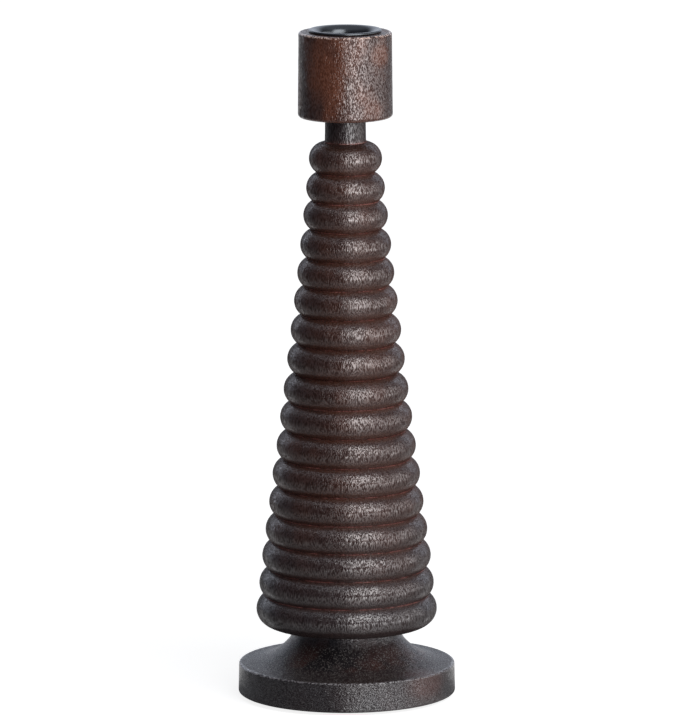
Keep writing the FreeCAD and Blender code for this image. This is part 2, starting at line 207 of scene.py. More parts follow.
def refine(points, closed, step_at):
    """The outline with more points. step_at gives the longest step wanted at a point."""
    bends = segment_curvatures(points, closed)
    finer = []
    for index, bend in enumerate(bends):
        start, end = points[index], points[(index + 1) % len(points)]
        pieces = max(1, math.ceil((end - start).length / step_at((start + end) / 2) - STEP_SLACK))
        finer.extend(curved_middle(start, end, bend, part / pieces) for part in range(pieces))
    if not closed:
        finer.append(points[-1])
    return finer


def distances_to(points, found):
    """Each point's distance to the nearest of the found points."""
    return [min(((point - place).length for place in found), default=FAR_AWAY) for point in points]


def groove_places(points):
    """The points of the creases between the rings."""
    return [point for point, turn in zip(points, turns_along(points)) if turn < -CORNER_ANGLE]


def edge_places(points, closed):
    """The points of sharp edges, and those of edges that are rounded tightly."""
    bends = segment_curvatures(points, closed)
    rounded = [point for point, bend in zip(points, bends) if bend > 1 / TIGHT_ROUND]
    return rounded + [point for point, turn in zip(points, turns_along(points)) if turn > CORNER_ANGLE]


def outward_directions(points, closed):
    """The direction out of the solid at each outline point, as unit (radius, height) pairs."""
    count = len(points)
    directions = []
    for index, point in enumerate(points):
        before = points[index - 1] if closed or index else point
        after = points[(index + 1) % count] if closed or index < count - 1 else point
        sides = [leg.normalized() for leg in (point - before, after - point) if leg.length > SAME_POINT]
        along = sum(sides, Vector((0, 0))).normalized()
        directions.append((along.y, -along.x))
    return np.array(directions)


def lathe(name, points, closed, segments, cut_at):
    """Turn an outline about the Z axis into a mesh. cut_at(x, y, z, index) gives how deep each vertex is
    cut in from the surface, where index is its outline point."""
    outward = outward_directions(points, closed)
    rows = range(len(points)) if closed else range(1, len(points) - 1)
    angles = [math.tau * step / segments for step in range(segments)]
    turns = [(math.cos(angle), math.sin(angle)) for angle in angles]
    places = []
    for index in rows:
        radius, height = points[index]
        out, up = outward[index]
        for cosine, sine in turns:
            depth = cut_at(radius * cosine, radius * sine, height, index)
            reach = radius - depth * out
            places.append((reach * cosine, reach * sine, height - depth * up))
    faces = []
    count = len(rows)
    for row in range(count if closed else count - 1):
        low = row * segments
        high = (row + 1) % count * segments
        for step in range(segments):
            following = (step + 1) % segments
            faces.append((low + step, low + following, high + following, high + step))
    if not closed:
        for row, end in ((0, 0), (count - 1, -1)):
            pole = len(places)
            places.append((0, 0, points[end].y))
            for step in range(segments):
                rim = (row * segments + step, row * segments + (step + 1) % segments)
                faces.append((pole, *rim[::-1]) if end == 0 else (pole, *rim))
    mesh = bpy.data.meshes.new(name)
    mesh.from_pydata(places, [], faces)
    mesh.shade_smooth()
    mesh.set_sharp_from_angle(angle=SHARP_ANGLE)
    piece = bpy.data.objects.new(name, mesh)
    bpy.context.scene.collection.objects.link(piece)
    return piece


def add_row_attribute(piece, name, closed, segments, values):
    """Give a turned piece an attribute with one value for each outline point."""
    rows = values if closed else values[1:-1]
    filled = np.repeat(np.array(rows, dtype=np.float32), segments)
    if not closed:
        filled = np.append(filled, (values[0], values[-1])).astype(np.float32)
    piece.data.attributes.new(name, "FLOAT", "POINT").data.foreach_set("value", filled)


def brushed_cut(place, grain_size, grain_depth):
    """How deep the brushing has cut the soft grain at a place. The fibres run up the stick."""
    sway = noise.noise_vector(place / GRAIN_SWAY_SIZE) * GRAIN_SWAY_REACH
    width, length = grain_size
    fibre = Vector(((place.x + sway.x) / width, (place.y + sway.y) / width, place.z / length))
    return SKIN_DEPTH + grain_depth * max(0.0, min(1.0, noise.noise(fibre) + MIDDLE_CUT))


def turned_wood(name, node, segments, step, grain_size, grain_depth, seen, material):
    """Turn a wooden node again on a finer mesh, with its grain cut in. step is the longest one between
    outline points, and seen((radius, height)) says which stretches of the outline show."""
    outline, closed = read_outline(node)
    points = refine(outline, closed, lambda point: step if seen(point) else HIDDEN_STEP)

    def cut_at(x, y, z, index):
        if not seen(points[index]):
            return 0.0
        return brushed_cut(Vector((x, y, z)), grain_size, grain_depth)

    piece = lathe(name, points, closed, segments, cut_at)
    for attribute, places in (("groove", groove_places(outline)), ("edge", edge_places(outline, closed))):
        add_row_attribute(piece, attribute, closed, segments, distances_to(points, places))
    piece.data.materials.append(material)
    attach(piece, "root")
    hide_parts(node)


# The sockets of a Mix node that mixes colours
MIX_SHARE = 0
MIX_FIRST = 6
MIX_SECOND = 7
MIX_RESULT = 2

# The share of a spot's size within which it is full
SPOT_CORE = 0.25


class Nodes:
    """A node tree whose nodes are made and joined in short calls."""

    def __init__(self, tree):
        self.tree = tree
        tree.nodes.clear()

    def add(self, kind, inputs=(), **settings):
        """Make a node. inputs pairs each socket's name or number with a value, or with a socket to join."""
        made = self.tree.nodes.new(kind)
        for name, value in settings.items():
            setattr(made, name, value)
        for socket, value in dict(inputs).items():
            self.put(made.inputs[socket], value)
        return made

    def put(self, socket, value):
        """Join a socket to another one, or give it a value."""
        if isinstance(value, bpy.types.NodeSocket):
            self.tree.links.new(value, socket)
        elif socket.type == "RGBA" and len(value) == 3:
            socket.default_value = (*value, 1.0)
        else:
            socket.default_value = value

    def math(self, operation, first, second=0.0, third=0.0):
        made = self.add("ShaderNodeMath", {0: first, 1: second, 2: third}, operation=operation)
        return made.outputs[0]

    def product(self, *values):
        """All the values times each other."""
        return reduce(lambda first, second: self.math("MULTIPLY", first, second), values)

    def most(self, *values):
        """The highest of some values."""
        return reduce(lambda first, second: self.math("MAXIMUM", first, second), values)

    def ramp(self, value, low, high, start=0.0, end=1.0):
        """Turn values from low to high into start to end, smoothly and no further."""
        inputs = {"Value": value, "From Min": low, "From Max": high, "To Min": start, "To Max": end}
        return self.add("ShaderNodeMapRange", inputs, interpolation_type="SMOOTHSTEP").outputs[0]

    def mix(self, share, first, second, blend="MIX"):
        made = self.add("ShaderNodeMix", {}, data_type="RGBA", blend_type=blend)
        for number, value in ((MIX_SHARE, share), (MIX_FIRST, first), (MIX_SECOND, second)):
            self.put(made.inputs[number], value)
        return made.outputs[MIX_RESULT]

    def attribute(self, name):
        return self.add("ShaderNodeAttribute", attribute_name=name).outputs["Fac"]

    def vector(self, operation, first, second=(0.0, 0.0, 0.0)):
        return self.add("ShaderNodeVectorMath", {0: first, 1: second}, operation=operation).outputs[0]

    def length(self, vector):
        return self.add("ShaderNodeVectorMath", {0: vector}, operation="LENGTH").outputs["Value"]

    def parts(self, vector):
        """A vector's parts along X, Y and Z."""
        return self.add("ShaderNodeSeparateXYZ", {0: vector}).outputs

    def noise(self, place, size, detail=2.0, roughness=0.5):
        """Noise whose features have a size along X, Y and Z."""
        mapped = self.vector("DIVIDE", place, size)
        inputs = {"Vector": mapped, "Scale": 1.0, "Detail": detail, "Roughness": roughness}
        return self.add("ShaderNodeTexNoise", inputs).outputs

    def cells(self, place, size):
        """A random colour for each of the cells that fill the space, with their size along X, Y and Z."""
        mapped = self.vector("DIVIDE", place, size)
        return self.add("ShaderNodeTexVoronoi", {"Vector": mapped, "Scale": 1.0}).outputs["Color"]

    def spot(self, place, middle, size):
        """1 at a middle, and 0 past a size along X, Y and Z from it."""
        apart = self.vector("DIVIDE", self.vector("SUBTRACT", place, middle), size)
        return self.ramp(self.length(apart), SPOT_CORE, 1.0, 1.0, 0.0)


class Shader(Nodes):
    """A material with one surface shader, which set() fills in."""

    def __init__(self, name):
        self.material = bpy.data.materials.new(name)
        self.material.use_nodes = True
        super().__init__(self.material.node_tree)
        self.surface = self.add("ShaderNodeBsdfPrincipled")
        self.add("ShaderNodeOutputMaterial", {"Surface": self.surface.outputs["BSDF"]})
        self.place = self.add("ShaderNodeTexCoord").outputs["Object"]

    def set(self, socket, value):
        self.put(self.surface.inputs[socket], value)

    def bump(self, height, distance):
        """Raise the surface by a distance where the height is 1."""
        return self.add("ShaderNodeBump", {"Height": height, "Distance": distance}).outputs[0]


def even(value):
    """The same value along X, Y and Z."""
    return (value, value, value)


# Heights, in metres, that no part of the stick reaches
NOWHERE_BELOW = (-2.0, -1.0)
NOWHERE_ABOVE = (1.0, 2.0)


@dataclass
class WoodLook:
    """What sets one wooden piece's look apart. Sizes are along X, Y and Z."""

    name: str
    # Colours of the burnt wood, of the redder wood under it and of rubbed edges, where the upward-facing
    # edges also carry a painted highlight
    burnt: tuple
    brown: tuple
    rubbed_and_highlight: tuple
    # How red the patches get, how bright the pits are beside the ridges, and how far painted glints speckle
    # tops
    patchy: float
    pits: float
    painted_glints: float
    # Fibres and facets, how far facets lean, and the share of that which the flattest ones lean
    fibre_size: tuple
    facet_size: tuple
    tilt: tuple
    least_tilt: float
    # The grain's relief on sides and on tops
    relief: float
    top_relief: float
    # The gloss: its colour, the grain heights over which it sets in, how far a surface faces up before it
    # dulls, and the share that is left on tops
    gloss_tint: tuple
    gloss_grain: tuple
    dull_from: float
    top_gloss: float
    # Roughness of the ridges, and roughness and refractive index of the gloss on them
    blur: float
    coat_blur: float
    coat_index: float
    # The share of the gloss that is left where the surface is seen edge on, and the roughness added there
    rim_gloss: float = 1.0
    rim_blur: float = 0.0
    # Redder places: (azimuth in degrees, radius, height, (reach across, reach up))
    red_spots: tuple = ()
    # The heights between which charring fades out from below, and sets in towards the top, where it is
    # painted shade under the block
    char_below: tuple = NOWHERE_BELOW
    char_and_shade_above: tuple = NOWHERE_ABOVE


# Colours that all the wood shares
# Worn wood beside the creases, lighter also as painted light on the ring sides next to them
WORN_AND_PAINTED_LIGHT = (0.16, 0.052, 0.042)
CREASE = (0.34, 0.13, 0.11)
# Charred wood, and on the neck painted shade under the block
CHARRED_AND_SHADE = (0.026, 0.018, 0.018)
CHARRED_GLOSS = (0.80, 0.80, 0.85)
# Painted glints: light specks on tops that stand in for the sparkle of light off the grain
PAINTED_GLINT = (0.17, 0.16, 0.15)
DULL_TINT = (0.4, 0.4, 0.4)
PIT_WARMTH = 0.9

# Sizes of the noises along X, Y and Z, their middle value, and how far the fibres sway
NOISE_MIDDLE = (0.5, 0.5, 0.5)
FIBRE_SWAY_SIZE = (9 * MM, 9 * MM, 14 * MM)
FIBRE_SWAY = even(4 * MM)
SPECK_SIZE = (0.48 * MM, 0.48 * MM, 0.6 * MM)
BLOTCH_SIZE = (6 * MM, 6 * MM, 5 * MM)
PATCH_SIZE = (15 * MM, 15 * MM, 30 * MM)
DOT_SIZE = even(0.9 * MM)
PAINTED_GLINT_SIZE = even(0.6 * MM)

# The noise values between which each mark sets in. Noise runs from 0 to 1.
RIDGE_GRAIN = (0.42, 0.56)
RED_PATCH = (0.42, 0.68)
GROOVE_PATCH = (0.3, 0.5)
CREASE_BLOTCH = (0.36, 0.60)
DOT_NOISE = (0.46, 0.54)
PAINTED_GLINT_NOISE = (0.58, 0.67)

# Distances from a crease or an edge over which its wear and painted light fade out
GROOVE_SIDE = (0.5 * MM, 3.8 * MM)
WORN_AND_LIGHT_REACH = (0.4 * MM, 2.5 * MM)
CREASE_REACH = (0.05 * MM, 0.5 * MM)
EDGE_REACH = (0.1 * MM, 0.7 * MM)

# How far a surface faces up, from -1 for an underside to 1 for a top
UNDERSIDE = (-0.6, -0.1)
EDGE_UPWARD = (0.05, 0.5)
PAINTED_GLINT_UPWARD = (0.3, 0.6)
TOP_UPWARD = (0.1, 0.6)

# How strong each mark is, and the share of the charring that a redder place clears
GROOVE_REDNESS = 0.7
# Undersides go redder and lighter: partly the wood's tone, partly painted light bounced up from the floor
UNDERSIDE_REDNESS_AND_BOUNCE = 0.7
WORN_AND_LIGHT_SHARE = 0.12
CHARRING = 0.8
SPOT_CLEARS = 0.8

# The relief: the specks' share of the grain, how much higher ridges stand, how much more facets lean on
# tops, and the random values of the facets that lean more than the flattest
SPECK_SHARE = 0.12
RIDGE_STEP = 0.35
TOP_TILT = 1.5
LEANING_FACETS = (0.5, 1.0)

# The gloss: the wood's refractive index, the pits' roughness, the gloss from pit to ridge, the random values
# of the duller facets and their share of it, and how far round a surface turns from the eye to its rim
WOOD_INDEX = 1.7
PIT_BLUR = 0.50
GLOSS_SPAN = (0.08, 0.92)
DULLER_FACETS = (0.0, 0.6)
DULLER_SHARE = (0.75, 1.0)
RIM_FACING = (0.5, 0.85)

# The share of the gloss that undersides keep, what they get instead, and the share that the neck keeps
UNDERSIDE_KEEPS = 0.3
UNDERSIDE_GLOSS = 0.35
NECK_KEEPS = 0.38


class Wood(Shader):
    """Brushed and burnt wood: dark, with reddish patches, creases and rubbed edges, painted light, shade,
    highlights and glints, and glossy ridges between dull pits. Its small facets lean at random, so that the
    gloss breaks up into flecks."""

    def __init__(self, look):
        super().__init__(look.name)
        self.look = look
        sway = self.vector("SUBTRACT", self.noise(self.place, FIBRE_SWAY_SIZE)["Color"], NOISE_MIDDLE)
        swayed = self.vector("ADD", self.place, self.vector("MULTIPLY", sway, FIBRE_SWAY))
        fibre = self.noise(swayed, look.fibre_size, detail=0.0)["Fac"]
        speck = self.noise(self.place, SPECK_SIZE, detail=1.0)["Fac"]
        self.grain = self.math("MULTIPLY_ADD", speck, SPECK_SHARE, self.product(fibre, 1 - SPECK_SHARE))
        self.ridge = self.ramp(self.grain, *RIDGE_GRAIN)
        self.facet = self.cells(swayed, look.facet_size)
        self.facet_parts = self.parts(self.facet)
        self.patch = self.noise(self.place, PATCH_SIZE)["Fac"]
        self.upward = self.parts(self.add("ShaderNodeNewGeometry").outputs["Normal"])["Z"]
        self.underside = self.ramp(self.upward, *UNDERSIDE, 1.0, 0.0)
        self.level = self.parts(self.place)["Z"]
        self.groove = self.attribute("groove")
        self.spots = self.rubbed_spots()
        self.charred_and_shaded = self.charring()
        self.edge_wear_and_highlight = self.rubbed_and_highlit_edges()
        self.set_colour()
        self.set_gloss()
        self.set_normal()

    def rubbed_spots(self):
        """1 in the middle of each redder place, and 0 past them all."""
        spots = 0.0
        for azimuth, radius, height, (across, up) in self.look.red_spots:
            angle = math.radians(azimuth)
            middle = (radius * math.sin(angle), -radius * math.cos(angle), height)
            spots = self.most(spots, self.spot(self.place, middle, (across, across, up)))
        return spots

    def charring(self):
        """How far the wood is charred at its height, where near the top of the column it is painted shade
        under the block. The redder places show through.
        """
        low = self.ramp(self.level, *self.look.char_below, CHARRING, 0.0)
        high = self.ramp(self.level, *self.look.char_and_shade_above, 0.0, CHARRING)
        uncovered = self.math("MULTIPLY_ADD", self.spots, -SPOT_CLEARS, 1.0)
        return self.product(self.math("ADD", low, high), uncovered)

    def rubbed_and_highlit_edges(self):
        """Dots along the edges that face up: rubbed wear, and a painted highlight."""
        near = self.ramp(self.attribute("edge"), *EDGE_REACH, 1.0, 0.0)
        dots = self.ramp(self.noise(self.place, DOT_SIZE, detail=0.0)["Fac"], *DOT_NOISE)
        return self.product(near, self.ramp(self.upward, *EDGE_UPWARD), dots)

    def set_colour(self):
        """Burnt to brown wood, the marks over it, among them painted light, shade and glints, and darker
        pits.
        """
        look = self.look
        beside_groove = self.ramp(self.groove, *GROOVE_SIDE, GROOVE_REDNESS, 0.0)
        redness = self.most(
            self.ramp(self.patch, *RED_PATCH, 0.0, look.patchy),
            self.spots,
            self.product(beside_groove, self.ramp(self.patch, *GROOVE_PATCH)),
            # Redder, lighter undersides: partly tone, partly painted bounce light from the floor
            self.product(self.underside, UNDERSIDE_REDNESS_AND_BOUNCE))
        colour = self.mix(redness, look.burnt, look.brown)
        colour = self.mix(self.charred_and_shaded, colour, CHARRED_AND_SHADE)
        # A lighter band beside the creases: worn wood, and painted light on the ring sides
        colour = self.mix(self.ramp(self.groove, *WORN_AND_LIGHT_REACH, WORN_AND_LIGHT_SHARE, 0.0), colour, WORN_AND_PAINTED_LIGHT)
        in_crease = self.ramp(self.groove, *CREASE_REACH, 1.0, 0.0)
        blotch = self.ramp(self.noise(self.place, BLOTCH_SIZE)["Fac"], *CREASE_BLOTCH)
        colour = self.mix(self.product(in_crease, blotch), colour, CREASE)
        # Painted glints: light specks on surfaces that face up
        glints = self.noise(self.place, PAINTED_GLINT_SIZE, detail=0.0)["Fac"]
        glints = self.ramp(glints, *PAINTED_GLINT_NOISE, 0.0, look.painted_glints)
        colour = self.mix(self.product(glints, self.ramp(self.upward, *PAINTED_GLINT_UPWARD)), colour, PAINTED_GLINT)
        # Rubbed wear on the upward-facing edges, with a painted highlight in it
        colour = self.mix(self.edge_wear_and_highlight, colour, look.rubbed_and_highlight)
        shade = (look.pits, look.pits * PIT_WARMTH, look.pits * PIT_WARMTH)
        self.set("Base Color", self.mix(self.ridge, self.mix(1.0, colour, shade, "MULTIPLY"), colour))

    def set_gloss(self):
        """A glossy coat on the ridges, weaker in the pits and on tops, undersides, rims and the neck."""
        look = self.look
        gloss = self.product(
            self.ramp(self.grain, *look.gloss_grain, *GLOSS_SPAN),
            self.ramp(self.facet_parts["X"], *DULLER_FACETS, *DULLER_SHARE),
            self.ramp(self.underside, 0.0, 1.0, 1.0, UNDERSIDE_KEEPS))
        gloss = self.math("ADD", gloss, self.product(self.underside, UNDERSIDE_GLOSS))
        facing = self.add("ShaderNodeLayerWeight", {"Blend": 0.5}).outputs["Facing"]
        rim = self.ramp(facing, *RIM_FACING)
        gloss = self.product(
            gloss,
            self.ramp(self.upward, look.dull_from, 1.0, 1.0, look.top_gloss),
            self.ramp(self.level, *look.char_and_shade_above, 1.0, NECK_KEEPS),
            self.ramp(rim, 0.0, 1.0, 1.0, look.rim_gloss))
        gloss = self.most(gloss, self.edge_wear_and_highlight)
        tint = self.mix(self.charred_and_shaded, look.gloss_tint, CHARRED_GLOSS)
        blur = self.ramp(self.ridge, 0.0, 1.0, PIT_BLUR, look.blur)
        self.set("IOR", WOOD_INDEX)
        self.set("Roughness", self.math("MULTIPLY_ADD", rim, look.rim_blur, blur))
        self.set("Specular Tint", self.mix(gloss, self.mix(1.0, tint, DULL_TINT, "MULTIPLY"), tint))
        self.set("Coat Weight", gloss)
        self.set("Coat IOR", look.coat_index)
        self.set("Coat Roughness", look.coat_blur)

    def set_normal(self):
        """The relief of the fibres, with each facet leaning its own way."""
        look = self.look
        height = self.math("MULTIPLY_ADD", self.ridge, RIDGE_STEP, self.grain)
        raised = self.bump(height, self.ramp(self.upward, *TOP_UPWARD, look.relief, look.top_relief))
        lean = self.vector("MULTIPLY", self.vector("SUBTRACT", self.facet, NOISE_MIDDLE), look.tilt)
        share = self.ramp(self.facet_parts["Z"], *LEANING_FACETS, look.least_tilt, 1.0)
        lean = self.vector("MULTIPLY", lean, share)
        lean = self.vector("MULTIPLY", lean, self.ramp(self.upward, *TOP_UPWARD, 1.0, TOP_TILT))
        normal = self.vector("NORMALIZE", self.vector("ADD", raised, lean))
        self.set("Normal", normal)
        self.set("Coat Normal", normal)


# The noise values between which metal goes from its smooth to its rough places
METAL_SPECK = (0.3, 0.7)


def metal_material():
    """Black painted metal with a satin gloss."""
    shader = Shader("cup_metal_look")
    speck = shader.noise(shader.place, even(0.6 * MM))["Fac"]
    shader.set("Base Color", (0.012, 0.012, 0.014))
    shader.set("Roughness", shader.ramp(speck, *METAL_SPECK, 0.22, 0.27))
    shader.set("IOR", 1.7)
    shader.set("Specular IOR Level", 1.0)
    shader.set("Specular Tint", (0.86, 0.93, 1.0))
    shader.set("Normal", shader.bump(speck, 0.006 * MM))
    return shader.material


def steel_material():
    """Zinc-plated steel, brushed round."""
    shader = Shader("screw_steel_look")
    speck = shader.noise(shader.place, (1.5 * MM, 1.5 * MM, 0.3 * MM), detail=3.0)["Fac"]
    shader.set("Base Color", shader.mix(speck, (0.55, 0.53, 0.48), (0.68, 0.66, 0.60)))
    shader.set("Roughness", shader.ramp(speck, *METAL_SPECK, 0.28, 0.45))
    shader.set("Metallic", 1.0)
    return shader.material


def felt_material():
    """Dark grey pressed felt."""
    shader = Shader("pad_felt_look")
    fibre = shader.noise(shader.place, (0.35 * MM, 0.35 * MM, 0.2 * MM), detail=4.0, roughness=0.7)["Fac"]
    shader.set("Base Color", shader.mix(fibre, (0.012, 0.012, 0.013), (0.045, 0.043, 0.042)))
    shader.set("Roughness", 0.95)
    shader.set("Sheen Weight", 0.4)
    shader.set("Normal", shader.bump(fibre, 0.2 * MM))
    return shader.material


# Where the wood shows: outside its bores, above the base's underside and clear of the pieces it joins
BASE_BORES = 12 * MM
BASE_UNDERSIDE = 2 * MM
HIDDEN_TENON = 1 * MM
NECK_SEAT = 9 * MM
CUP_BORE = 13 * MM
CUP_BORE_EDGE = 0.1 * MM
# How far below the block the neck's charring sets in, which stands for painted shade under the block
NECK_CHARRING_AND_SHADE = (13 * MM, 9 * MM)


def make_base():
    look = WoodLook(
        "base_wood_look",
        burnt=(0.011, 0.0085, 0.010), brown=(0.095, 0.032, 0.022), rubbed_and_highlight=(0.18, 0.16, 0.16),
        patchy=0.5, pits=0.6, painted_glints=0.9,
        fibre_size=even(0.37 * MM), facet_size=even(0.36 * MM), tilt=even(0.5), least_tilt=0.3,
        relief=0.05 * MM, top_relief=0.08 * MM,
        gloss_tint=(0.95, 0.88, 0.94), gloss_grain=(0.44, 0.60), dull_from=0.1, top_gloss=0.14,
        blur=0.35, coat_blur=0.14, coat_index=2.1,
        red_spots=((48, 47 * MM, 11 * MM, (20 * MM, 12 * MM)),),
        char_below=(17 * MM, 18 * MM))

    def seen(point):
        return point.x > BASE_BORES and point.y > BASE_UNDERSIDE

    turned_wood("base_turning", "base", segments=512, step=0.6 * MM, grain_size=(0.9 * MM, 1.1 * MM),
                grain_depth=0.045 * MM, seen=seen, material=Wood(look).material)


def make_column():
    base_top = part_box("base")[1].z
    block_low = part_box("socket_block")[0].z
    look = WoodLook(
        "column_wood_look",
        burnt=(0.045, 0.0185, 0.0125), brown=(0.105, 0.037, 0.020), rubbed_and_highlight=(0.10, 0.05, 0.04),
        patchy=0.5, pits=0.5, painted_glints=0.25,
        fibre_size=(0.35 * MM, 0.35 * MM, 2.0 * MM), facet_size=(0.5 * MM, 0.5 * MM, 1.8 * MM),
        tilt=(0.2, 0.2, 0.15), least_tilt=0.5,
        relief=0.06 * MM, top_relief=0.06 * MM,
        gloss_tint=(1.0, 0.70, 0.66), gloss_grain=(0.44, 0.58), dull_from=0.85, top_gloss=0.4,
        blur=0.32, coat_blur=0.11, coat_index=2.15, rim_gloss=0.15, rim_blur=0.3,
        char_below=(25 * MM, 105 * MM),
        char_and_shade_above=tuple(block_low - drop for drop in NECK_CHARRING_AND_SHADE))

    def seen(point):
        return base_top - HIDDEN_TENON < point.y < block_low + HIDDEN_TENON

    turned_wood("column_turning", "column", segments=288, step=1.5 * MM, grain_size=(1.0 * MM, 4.0 * MM),
                grain_depth=0.07 * MM, seen=seen, material=Wood(look).material)


def make_block():
    block_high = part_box("socket_block")[1].z
    look = WoodLook(
        "block_wood_look",
        burnt=(0.042, 0.019, 0.015), brown=(0.145, 0.046, 0.021), rubbed_and_highlight=(0.80, 0.60, 0.50),
        patchy=1.0, pits=0.6, painted_glints=0.0,
        fibre_size=(0.40 * MM, 0.40 * MM, 1.2 * MM), facet_size=(0.45 * MM, 0.45 * MM, 1.2 * MM),
        tilt=even(0.4), least_tilt=0.4,
        relief=0.06 * MM, top_relief=0.06 * MM,
        gloss_tint=(1.0, 0.72, 0.68), gloss_grain=(0.40, 0.60), dull_from=0.85, top_gloss=0.4,
        blur=0.32, coat_blur=0.12, coat_index=1.85,
        red_spots=((-14, 21 * MM, 278 * MM, (8 * MM, 22 * MM)), (50, 21 * MM, 290 * MM, (9 * MM, 8 * MM))))

    def seen(point):
        in_cup_bore = point.x < CUP_BORE and point.y < block_high - CUP_BORE_EDGE
        return point.x > NECK_SEAT and not in_cup_bore

    turned_wood("block_turning", "socket_block", segments=400, step=0.7 * MM, grain_size=(1.0 * MM, 4.0 * MM),
                grain_depth=0.07 * MM, seen=seen, material=Wood(look).material)


# The longest step between the cup's outline points, and its steps round
CUP_STEP = 0.35 * MM
CUP_SEGMENTS = 192


def make_cup(material):
    points, closed = read_outline("candle_cup")
    points = refine(points, closed, lambda point: CUP_STEP)
    piece = lathe("cup_shell", points, closed, CUP_SEGMENTS, lambda x, y, z, index: 0.0)
    piece.data.materials.append(material)
    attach(piece, "root")
    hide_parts("candle_cup")


# The felt pads: the share of their thickness that rounds their rims, and the points along it, where their
# faces have points, as shares of the radius, and the depth and size of the lumps round their rims
PAD_ROUND_SHARE = 0.3
PAD_ROUND_POINTS = 5
PAD_FACE_SHARES = (0, 0.4, 0.7)
PAD_LUMP_DEPTH = 0.06 * MM
PAD_LUMP_SIZE = 0.8 * MM
PAD_SEGMENTS = 96


def make_pad(node, material):
    """A stick-on disc of felt: flat faces, and a rim that is a little rounded and uneven."""
    low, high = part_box(node)
    middle = (low + high) / 2
    radius = (high.x - low.x) / 2
    thickness = high.z - low.z
    round_over = thickness * PAD_ROUND_SHARE
    turns = np.linspace(0, math.pi / 2, PAD_ROUND_POINTS)
    corner = [Vector((math.sin(turn), 1 - math.cos(turn))) * round_over for turn in turns]
    face = [Vector((radius * share, 0)) for share in PAD_FACE_SHARES]
    lower = face + [Vector((radius - round_over, 0)) + point for point in corner]
    outline = lower + [Vector((point.x, thickness - point.y)) for point in reversed(lower)]
    rim = range(len(face) + 1, len(outline) - len(face) - 1)

    def cut_at(x, y, z, index):
        return PAD_LUMP_DEPTH * (1 + noise.noise(Vector((x, y, z)) / PAD_LUMP_SIZE)) if index in rim else 0.0

    pad = lathe(node + "_felt", outline, False, PAD_SEGMENTS, cut_at)
    pad.location = (middle.x, middle.y, low.z)
    pad.data.materials.append(material)
    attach(pad, "root")
    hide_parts(node)


def make_pads(material):
    for name in sorted(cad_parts):
        if name.startswith("felt_pad"):
            make_pad(name, material)


def finish_screws(material):
    for name in ("cup_screw", "base_screw", "base_washer"):
        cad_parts[name].data.materials.clear()
        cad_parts[name].data.materials.append(material)


WHITE = (1.0, 1.0, 1.0)
FLOOR_HALF = 6.0
FLOOR_GREY = (0.50, 0.50, 0.50)
# The white floor behind the stick in reflections: how far back its places lie, for the wide sector near
# the stick and the narrow one further off, the distances between which one becomes the other, and its fading
NEAR_SECTOR = (0.15, 0.75)
FAR_SECTOR = (0.45, 0.95)
SECTOR_CHANGE = (0.12, 0.18)
SWEEP_FADE = (0.1, 1.2)
SWEEP_END = 0.4
# The floor's glow, darker at the stick's foot
FOOT_SHADE = (0.05, 0.6)
GLOW_SPAN = (0.85, 0.97)
# A painted reflection of the lamp: glow on the floor before the stick that only reflections see. Where it
# sets in from the left and ends towards the back, how far right its places lie where it weakens, and its
# strength by the angle of view
MIRROR_LEFT = (-5 * MM, 10 * MM)
MIRROR_BACK = (-50 * MM, 0.0)
MIRROR_SIDE = (0.45, 0.85)
MIRROR_SIDE_END = 0.45
MIRROR_INDEX = 1.5
MIRROR_GAIN = 4.0
MIRROR_LEAST = 0.2


def white_sweep(shader, away, toward):
    """1 on the floor behind the stick, fading with distance. away is a place's distance from the axis and
    toward its direction."""
    low, high = (shader.ramp(away, *SECTOR_CHANGE, near, far) for near, far in zip(NEAR_SECTOR, FAR_SECTOR))
    return shader.product(shader.ramp(toward["Y"], low, high), shader.ramp(away, *SWEEP_FADE, 1.0, SWEEP_END))


def painted_lamp_reflection(shader, toward):
    """A painted reflection of the lamp: glow that reflections see on the floor before the stick, stronger at
    a low angle.
    """
    split = shader.parts(shader.place)
    fresnel = shader.add("ShaderNodeFresnel", {"IOR": MIRROR_INDEX}).outputs[0]
    return shader.product(
        shader.ramp(split["X"], *MIRROR_LEFT),
        shader.ramp(split["Y"], *MIRROR_BACK, 1.0, 0.0),
        shader.math("MULTIPLY_ADD", fresnel, MIRROR_GAIN, MIRROR_LEAST),
        shader.ramp(toward["X"], *MIRROR_SIDE, 1.0, MIRROR_SIDE_END))


def floor_material():
    shader = Shader("floor_white")
    shader.set("Base Color", FLOOR_GREY)
    shader.set("Roughness", 0.9)
    shader.set("Specular IOR Level", 0.0)
    rays = shader.add("ShaderNodeLightPath").outputs
    away = shader.length(shader.place)
    toward = shader.parts(shader.vector("NORMALIZE", shader.place))
    shiny = shader.most(rays["Is Glossy Ray"], rays["Is Transmission Ray"])
    seen = shader.most(rays["Is Camera Ray"], shader.product(shiny, white_sweep(shader, away, toward)))
    glow = shader.product(seen, shader.ramp(away, *FOOT_SHADE, *GLOW_SPAN))
    # Painted reflection of the lamp, seen only by glossy rays
    painted_gleam = shader.product(painted_lamp_reflection(shader, toward), rays["Is Glossy Ray"])
    shader.set("Emission Color", WHITE)
    shader.set("Emission Strength", shader.math("ADD", glow, painted_gleam))
    return shader.material


def make_floor():
    """A pale floor that keeps the object's shadow. The camera sees it as white, and so do reflections of
    the part of it behind the stick."""
    mesh = bpy.data.meshes.new("floor")
    corners = [(x * FLOOR_HALF, y * FLOOR_HALF, 0) for x, y in ((-1, -1), (1, -1), (1, 1), (-1, 1))]
    mesh.from_pydata(corners, [], [(0, 1, 2, 3)])
    floor = bpy.data.objects.new("floor", mesh)
    bpy.context.scene.collection.objects.link(floor)
    floor.data.materials.append(floor_material())


